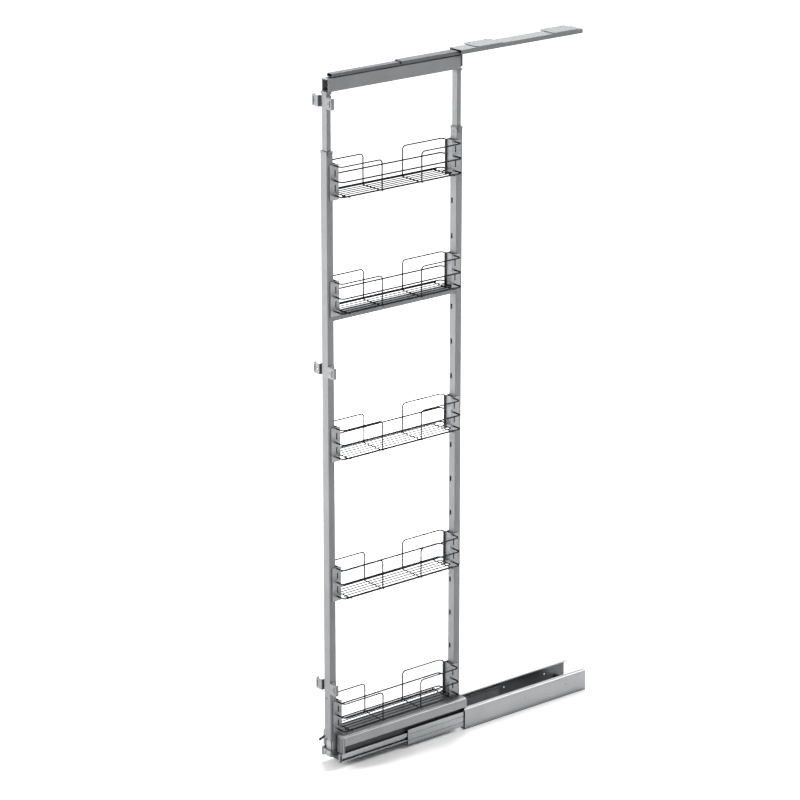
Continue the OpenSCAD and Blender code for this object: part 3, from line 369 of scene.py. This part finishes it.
# %% [markdown]
# ## From points to finished pieces
# Wires, welds and screws repeat, so each kind is one small node tree. A tree takes a few points or
# lines, and its named inputs hold the sizes in metres. The helper below builds the tree's frame,
# and a second one runs a tree once and keeps the result as a plain mesh, which travels well to
# other programs.

# %% Run a node tree on points
def new_tree(name, sizes):
    tree = bpy.data.node_groups.new(name, "GeometryNodeTree")
    tree.interface.new_socket("Geometry", in_out="INPUT", socket_type="NodeSocketGeometry")
    for label, value in sizes.items():
        socket = tree.interface.new_socket(label, in_out="INPUT", socket_type="NodeSocketFloat")
        socket.default_value = value
    tree.interface.new_socket("Geometry", in_out="OUTPUT", socket_type="NodeSocketGeometry")
    return tree, add(tree, "NodeGroupInput")


def end_tree(tree, geometry, material):
    real = add(tree, "GeometryNodeRealizeInstances", {0: geometry})
    dressed = add(tree, "GeometryNodeSetMaterial", {"Geometry": real.outputs[0],
                                                    "Material": material})
    add(tree, "NodeGroupOutput", {0: dressed.outputs[0]})
    return tree


def grow(tree, points, edges=(), sizes=None, aims=None):
    seed = bpy.data.meshes.new("seed")
    seed.from_pydata([[v * MM for v in p] for p in points], edges, [])
    if aims:
        aim = seed.attributes.new("aim", "FLOAT_VECTOR", "POINT")
        for item, value in zip(aim.data, aims):
            item.vector = value
    holder = bpy.data.objects.new("holder", seed)
    bpy.context.scene.collection.objects.link(holder)
    modifier = holder.modifiers.new("grow", "NODES")
    modifier.node_group = tree
    keys = {item.name: item.identifier for item in tree.interface.items_tree
            if item.item_type == "SOCKET" and item.in_out == "INPUT"}
    for label, value in (sizes or {}).items():
        modifier[keys[label]] = value * MM
    shape = bpy.data.meshes.new_from_object(
        holder.evaluated_get(bpy.context.evaluated_depsgraph_get()))
    bpy.data.objects.remove(holder)
    return shape


def merge(name, parts):
    joined = bmesh.new()
    for shape, shift in parts:
        start = len(joined.verts)
        joined.from_mesh(shape)
        joined.verts.ensure_lookup_table()
        bmesh.ops.translate(joined, verts=joined.verts[start:], vec=Vector(shift) * MM)
    mesh = bpy.data.meshes.new(name)
    joined.to_mesh(mesh)
    joined.free()
    mesh.materials.append(parts[0][0].materials[0])
    piece = bpy.data.objects.new(name, mesh)
    bpy.context.scene.collection.objects.link(piece)
    return piece


print("tree helpers ready")

# %% [markdown]
# ## The bent wires of a basket
# A basket maker cuts straight wire, bends it over a round former and welds the crossings. The tree
# does the same: it takes a line with sharp corners, rounds each corner to the former's radius
# (Fillet Curve) and gives the line the thickness of the wire (Curve to Mesh).

# %% Wire tree
RAIL_WIRE, LOOP_WIRE, FLOOR_WIRE, BEND = 4.5, 4.0, 3.0, 11.0
wire_tree, given = new_tree("bent_wire", {"Wire diameter": LOOP_WIRE * MM,
                                          "Bend radius": BEND * MM})
line = add(wire_tree, "GeometryNodeMeshToCurve", {0: given.outputs["Geometry"]})
bent = add(wire_tree, "GeometryNodeFilletCurve",
           {"Curve": line.outputs[0], "Radius": given.outputs["Bend radius"], "Count": 9},
           mode="POLY")
half = share_of(wire_tree, given.outputs["Wire diameter"], 0.5)
round_wire = add(wire_tree, "GeometryNodeCurvePrimitiveCircle",
                 {"Resolution": 14, "Radius": half})
solid_wire = add(wire_tree, "GeometryNodeCurveToMesh",
                 {"Curve": bent.outputs[0], "Profile Curve": round_wire.outputs[0],
                  "Fill Caps": True})
smooth_wire = add(wire_tree, "GeometryNodeSetShadeSmooth", {"Geometry": solid_wire.outputs[0]})
end_tree(wire_tree, smooth_wire.outputs[0], chrome)
print("wire tree:", len(wire_tree.nodes), "nodes")

# %% [markdown]
# ## Where the wires run
# One basket, with its bottom rims at height zero. Each long side has two rails, and a taller loop
# at each end that drops to the rim. The floor is one long wire bent to and fro like a radiator
# pipe. Left and right are mirror images, and so are front and rear.

# %% Lines of one basket
FRONT_Y, REAR_Y = -500.5, -57.5
MIDDLE_Y = (FRONT_Y + REAR_Y) / 2
RAIL_X, LOOP_X, END_X = 47.5, 43.55, 16.0
RAIL_Z, LOOP_Z, DROP_Y = 43.5, 87.0, 73.0
FLOOR_PITCH, FLOOR_WIRES, FLOOR_INSET = 16.0, 6, 24.0
CROSS_Z, LONG_Z = -3.8, -1.1


def line_mesh(lines):
    points = [p for line in lines for p in line]
    edges, start = [], 0
    for line in lines:
        edges += [(start + i, start + i + 1) for i in range(len(line) - 1)]
        start += len(line)
    return points, edges


rails = [[(s * END_X, FRONT_Y, z), (s * RAIL_X, FRONT_Y, z), (s * RAIL_X, REAR_Y, z),
          (s * END_X, REAR_Y, z)] for s in (-1, 1) for z in (0.0, RAIL_Z)]
loops = [[(s * END_X, MIDDLE_Y + e * (FRONT_Y - MIDDLE_Y), LOOP_Z),
          (s * LOOP_X, MIDDLE_Y + e * (FRONT_Y - MIDDLE_Y), LOOP_Z),
          (s * LOOP_X, MIDDLE_Y - e * DROP_Y, LOOP_Z), (s * LOOP_X, MIDDLE_Y - e * DROP_Y, -1.0)]
         for s in (-1, 1) for e in (-1, 1)]
floor_x = [(i - (FLOOR_WIRES - 1) / 2) * FLOOR_PITCH for i in range(FLOOR_WIRES)]
turn = FLOOR_PITCH / 2
ends = [FRONT_Y + FLOOR_INSET - turn, REAR_Y - FLOOR_INSET + turn]
snake = [(floor_x[0], ends[1] - turn, LONG_Z)]
for i, x in enumerate(floor_x[:-1]):
    snake += [(x, ends[i % 2], LONG_Z), (floor_x[i + 1], ends[i % 2], LONG_Z)]
snake.append((floor_x[-1], ends[1] - turn, LONG_Z))
cross_y = [FRONT_Y + FLOOR_INSET + 4, MIDDLE_Y - DROP_Y, MIDDLE_Y + DROP_Y,
           REAR_Y - FLOOR_INSET - 4]
crosses = [[(-RAIL_X, y, CROSS_Z), (RAIL_X, y, CROSS_Z)] for y in cross_y]
print("one basket:", len(rails), "rails,", len(loops), "loops,", len(crosses), "cross wires")

# %% [markdown]
# ## Welds
# Where two wires cross, a pulse of current melts them together and leaves a small flattened bead.
# The plating covers it, so it has the same chrome. A bead is only 3 mm long and there are 40 in a
# basket, so a coarse ball with smooth shading is enough.

# %% Weld tree and places
BEAD = 1.7
weld_tree, given = new_tree("weld_beads", {"Bead radius": BEAD * MM})
ball = add(weld_tree, "GeometryNodeMeshUVSphere", {"Segments": 8, "Rings": 5,
                                                   "Radius": given.outputs["Bead radius"]})
flat = add(weld_tree, "GeometryNodeTransform", {"Geometry": ball.outputs[0],
                                                "Scale": (1.0, 1.0, 0.8)})
beads = add(weld_tree, "GeometryNodeInstanceOnPoints",
            {"Points": given.outputs["Geometry"], "Instance": flat.outputs[0]})
smooth_beads = add(weld_tree, "GeometryNodeSetShadeSmooth", {"Geometry": beads.outputs[0]})
end_tree(weld_tree, smooth_beads.outputs[0], chrome)
welds = [(x, y, (CROSS_Z + LONG_Z) / 2) for x in floor_x for y in cross_y]
welds += [(s * RAIL_X, y, -2.2) for s in (-1, 1) for y in cross_y]
welds += [(s * (RAIL_X + LOOP_X) / 2, MIDDLE_Y + e * DROP_Y, z)
          for s in (-1, 1) for e in (-1, 1) for z in (0.0, RAIL_Z)]
print("welds in a basket:", len(welds))

# %% [markdown]
# ## Five baskets
# The basket is grown once and set down five times, each time at the height of a row of slots in
# the uprights. Each copy replaces the coarser wires of the solid model and moves with its basket.

# %% Baskets
# The floor wire turns in half circles, a hair under the largest radius that fits its pitch.
wires = [(rails, RAIL_WIRE, BEND), (loops, LOOP_WIRE, BEND), ([snake], FLOOR_WIRE, turn - 0.01),
         (crosses, FLOOR_WIRE, 1)]
shapes = [grow(wire_tree, *line_mesh(lines), {"Wire diameter": wire, "Bend radius": bend})
          for lines, wire, bend in wires]
shapes.append(grow(weld_tree, welds, (), {"Bead radius": BEAD}))
for number, share in enumerate(basket_share, 1):
    rim = LOWEST + share * (HIGHEST - LOWEST)
    basket = merge(f"basket_{number}_wires", [(shape, (0, 0, rim)) for shape in shapes])
    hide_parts(f"basket_{number}", f"basket_{number}_floor")
    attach(basket, f"basket_{number}_unit")
    print(basket.name, "rim at", round(rim, 1), "mm,", len(basket.data.polygons), "faces")

# %% [markdown]
# ## Screws with a cross recess
# Every bracket and bar is held by small pan-head screws. The tree cuts a round dome from a ball
# with a short cylinder, joins a shank and cuts the cross with two thin boxes. It then sets one
# screw at each point, along the arrow stored there, and turns each by its own amount, because no
# fitter stops all screws at the same angle.

# %% Screw tree
HEAD, HEAD_HEIGHT = 7.0, 2.2
screw_tree, given = new_tree("cross_head_screw", {
    "Head diameter": HEAD * MM, "Head height": HEAD_HEIGHT * MM, "Shank length": 6 * MM})
diameter = given.outputs["Head diameter"]
height = given.outputs["Head height"]


def sized(kind, first, second):
    return math_node(screw_tree, kind, first, second)


def moved(mesh, z):
    place = add(screw_tree, "ShaderNodeCombineXYZ", {"Z": z})
    return add(screw_tree, "GeometryNodeTransform", {"Geometry": mesh.outputs[0],
                                                     "Translation": place.outputs[0]}).outputs[0]


disc = add(screw_tree, "GeometryNodeMeshCylinder",
           {"Vertices": 28, "Radius": sized("MULTIPLY", diameter, 0.5), "Depth": height})
dome_radius = sized("MULTIPLY", diameter, 0.9)
dome = add(screw_tree, "GeometryNodeMeshUVSphere", {"Segments": 28, "Rings": 28,
                                                    "Radius": dome_radius})
head = add(screw_tree, "GeometryNodeMeshBoolean",
           {"Mesh 2": moved(disc, sized("MULTIPLY", height, 0.5))}, operation="INTERSECT")
screw_tree.links.new(moved(dome, sized("SUBTRACT", height, dome_radius)), head.inputs["Mesh 2"])
length = given.outputs["Shank length"]
shank = add(screw_tree, "GeometryNodeMeshCylinder",
            {"Vertices": 20, "Radius": sized("MULTIPLY", diameter, 0.27),
             "Depth": sized("ADD", length, 0.4 * MM)})
shank_z = sized("ADD", sized("MULTIPLY", length, -0.5), 0.2 * MM)
whole = add(screw_tree, "GeometryNodeMeshBoolean", {"Mesh 2": moved(shank, shank_z)},
            operation="UNION")
screw_tree.links.new(head.outputs[0], whole.inputs["Mesh 2"])
cut = add(screw_tree, "GeometryNodeMeshBoolean", {"Mesh 1": whole.outputs[0]},
          operation="DIFFERENCE")
for long_side, short_side in ((0.62, 0.13), (0.13, 0.62)):
    size = add(screw_tree, "ShaderNodeCombineXYZ",
               {"X": sized("MULTIPLY", diameter, long_side),
                "Y": sized("MULTIPLY", diameter, short_side),
                "Z": sized("MULTIPLY", height, 1.3)})
    slot_box = add(screw_tree, "GeometryNodeMeshCube", {"Size": size.outputs[0]})
    screw_tree.links.new(moved(slot_box, height), cut.inputs["Mesh 2"])
crease = add(screw_tree, "GeometryNodeInputMeshEdgeAngle")
sharp = add(screw_tree, "FunctionNodeCompare", {0: crease.outputs[0], 1: math.radians(25)},
            operation="GREATER_THAN")
round_faces = add(screw_tree, "GeometryNodeSetShadeSmooth", {"Geometry": cut.outputs[0]})
sharp_edges = add(screw_tree, "GeometryNodeSetShadeSmooth",
                  {"Geometry": round_faces.outputs[0], "Selection": sharp.outputs[0],
                   "Shade Smooth": False}, domain="EDGE")
arrow = add(screw_tree, "GeometryNodeInputNamedAttribute", {"Name": "aim"},
            data_type="FLOAT_VECTOR")
lean = add(screw_tree, "FunctionNodeAlignRotationToVector", {"Vector": arrow.outputs[0]})
placed = add(screw_tree, "GeometryNodeInstanceOnPoints",
             {"Points": given.outputs["Geometry"], "Instance": sharp_edges.outputs[0],
              "Rotation": lean.outputs[0]})
turned = add(screw_tree, "FunctionNodeRandomValue", {2: 0.0, 3: math.radians(90), "Seed": 4})
spin = add(screw_tree, "ShaderNodeCombineXYZ", {"Z": turned.outputs[1]})
spun = add(screw_tree, "GeometryNodeRotateInstances", {"Instances": placed.outputs[0],
                                                       "Rotation": spin.outputs[0]})
end_tree(screw_tree, spun.outputs[0], screw_zinc)
print("screw tree:", len(screw_tree.nodes), "nodes")

# %% [markdown]
# ## Where the screws sit
# Each row gives the underside of a head, the way the head looks, and the length of the shank. The
# rows of one solid go together, because the new screws take that solid's place.

# %% Screws
FRONT_BACK = UPRIGHT_FRONT + UPRIGHT_DEPTH
REAR_FRONT = UPRIGHT_FRONT + FRAME_DEPTH - UPRIGHT_DEPTH
SCREW_Y = UPRIGHT_FRONT + 12.0
BRACKET_SIDE, UPPER_BRACKET_SIDE, UPPER_BRACKET_Z = UPRIGHT_HALF + 2.0, 14.0, 2027.0
CROSS_BAR_DROP, CROSS_BAR_SCREW = 27.0, 9.5
CROSS_SCREW_Z = (LOWEST + basket_share[3] * (HIGHEST - LOWEST) - CROSS_BAR_DROP
                 + CROSS_BAR_SCREW)
DOOR_RISE, DOOR_SHARE = 139.0, 0.6846
door_z = [LOWEST + DOOR_RISE, LOWEST + DOOR_SHARE * (HIGHEST - LOWEST)]
LEFT, RIGHT, BACK, AHEAD, DOWN = (-1, 0, 0), (1, 0, 0), (0, 1, 0), (0, -1, 0), (0, 0, -1)
screw_rows = {
    "door_bracket_screws": [((s * BRACKET_SIDE, SCREW_Y, z), way, 4.5)
                            for s, way in ((-1, LEFT), (1, RIGHT)) for z in door_z],
    "upper_bracket_screws": [((s * UPPER_BRACKET_SIDE, SCREW_Y, UPPER_BRACKET_Z), way, 4.5)
                             for s, way in ((-1, LEFT), (1, RIGHT))],
    "cross_bar_screws": [((x, y, CROSS_SCREW_Z), way, 4.0) for x in (-7, 7)
                         for y, way in ((FRONT_BACK + 1.5, BACK), (REAR_FRONT - 1.5, AHEAD))],
    "foot_screws": [((x, UPRIGHT_FRONT - 2, 43), AHEAD, 30.0) for x in (-10, 10)]
                   + [((x, UPRIGHT_FRONT + FRAME_DEPTH - UPRIGHT_DEPTH / 2, 101.5), DOWN, 5.5)
                      for x in (-8, 8)],
    "height_screws": [((0, FRONT_BACK, UPRIGHT_TOP - 10), BACK, 3.5),
                      ((0, REAR_FRONT, UPRIGHT_TOP - 10), AHEAD, 3.5)],
}
body_of = {node: body for body, nodes in frame["record"]["behaviour"]["bodies"].items()
           for node in nodes}
for node, rows in screw_rows.items():
    parts = []
    for length in sorted({row[2] for row in rows}):
        some = [row for row in rows if row[2] == length]
        shape = grow(screw_tree, [row[0] for row in some], (),
                     {"Head diameter": HEAD, "Head height": HEAD_HEIGHT, "Shank length": length},
                     [row[1] for row in some])
        parts.append((shape, (0, 0, 0)))
    screws = merge(f"{node}_cross_head", parts)
    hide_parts(node)
    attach(screws, body_of[node])
    print(screws.name, len(rows), "screws on", body_of[node])

# %% [markdown]
# ## Floor and background
# The unit stands on a seamless white floor. A floor colour that looks white from the camera would
# throw too much light back up at the metal. So rays of scattered light meet a mid-grey floor, and
# only the camera and mirror-like rays see a white one, whose brightness still falls where the rails
# keep the light away. Far from the unit the lamps reach the floor less, so a glow that grows with
# the distance keeps it white there.

# %% White studio floor
# 1 for a ray that runs from the camera, off a mirror or through glass, 0 for scattered light
def straight_rays(tree):
    rays = add(tree, "ShaderNodeLightPath").outputs
    seen = math_node(tree, "MAXIMUM", rays["Is Camera Ray"], rays["Is Glossy Ray"])
    return math_node(tree, "MAXIMUM", seen, rays["Is Transmission Ray"])


FLOOR_WHITE = 1.75
HALF_FLOOR = 60.0
floor_paint, tree = new_material("white_studio_floor")
place = add(tree, "ShaderNodeTexCoord").outputs["Object"]
distance = add(tree, "ShaderNodeVectorMath", {0: place}, operation="LENGTH")
far = span(tree, distance.outputs["Value"], 1.0, 3.0, interpolation_type="SMOOTHSTEP")
white_floor = add(tree, "ShaderNodeBsdfDiffuse", {"Color": (FLOOR_WHITE,) * 3 + (1.0,)})
glow = add(tree, "ShaderNodeEmission", {"Color": linear("#FFFFFF"), "Strength": far})
bright = add(tree, "ShaderNodeAddShader", {0: white_floor.outputs[0], 1: glow.outputs[0]})
grey_floor = add(tree, "ShaderNodeBsdfDiffuse", {"Color": linear("#A8A8A8")})
pick = add(tree, "ShaderNodeMixShader", {0: straight_rays(tree), 1: grey_floor.outputs[0],
                                         2: bright.outputs[0]})
add(tree, "ShaderNodeOutputMaterial", {"Surface": pick.outputs[0]})
floor_mesh = bpy.data.meshes.new("studio_floor")
floor_mesh.from_pydata([(-HALF_FLOOR, -HALF_FLOOR, 0), (HALF_FLOOR, -HALF_FLOOR, 0),
                        (HALF_FLOOR, HALF_FLOOR, 0), (-HALF_FLOOR, HALF_FLOOR, 0)],
                       [], [(0, 1, 2, 3)])
floor_mesh.materials.append(floor_paint)
studio_floor = bpy.data.objects.new("studio_floor", floor_mesh)
bpy.context.scene.collection.objects.link(studio_floor)
print("floor", 2 * HALF_FLOOR, "m wide")

# %% [markdown]
# ## Light
# Three soft lamps do the work. The largest stands in front on the left, so that the front faces
# are the brightest. One overhead lights the decks and draws the shadow under the rails. One behind
# on the right puts a bright line on rolled edges. The world fills in. The camera and mirror-like
# rays see it white, and scattered light meets a grey room that is brighter above than at the
# horizon.

# %% World and lamps
world = bpy.data.worlds.new("studio")
bpy.context.scene.world = world
world.use_nodes = True
tree = world.node_tree
tree.nodes.clear()
look = add(tree, "ShaderNodeTexCoord").outputs["Generated"]
up = add(tree, "ShaderNodeSeparateXYZ", {0: look}).outputs["Z"]
room = span(tree, up, 0.0, 0.9, 0.08, 0.3, interpolation_type="SMOOTHSTEP")
fill = add(tree, "ShaderNodeBackground", {"Color": linear("#FFFFFF"), "Strength": room})
white = add(tree, "ShaderNodeBackground", {"Color": linear("#FFFFFF"), "Strength": 1.0})
pick = add(tree, "ShaderNodeMixShader", {0: straight_rays(tree), 1: fill.outputs[0],
                                         2: white.outputs[0]})
add(tree, "ShaderNodeOutputWorld", {"Surface": pick.outputs[0]})


def soft_lamp(name, place, aim, width, watts):
    data = bpy.data.lights.new(name, "AREA")
    data.shape = "SQUARE"
    data.size = width
    data.energy = watts
    lamp = bpy.data.objects.new(name, data)
    bpy.context.scene.collection.objects.link(lamp)
    lamp.location = place
    lamp.rotation_euler = (Vector(aim) - Vector(place)).to_track_quat("-Z", "Y").to_euler()
    return lamp


front_lamp = soft_lamp("front_softbox", (-2.4, -5.0, 2.4), (0.0, -0.2, 1.0), 2.4, 182)
top_lamp = soft_lamp("top_softbox", (-1.8, 1.4, 4.4), (0.0, -0.1, 0.0), 1.8, 90)
edge_lamp = soft_lamp("edge_softbox", (2.0, 3.9, 4.4), (0.0, 0.1, 0.2), 1.6, 95)
print("lamps:", front_lamp.name, top_lamp.name, edge_lamp.name)
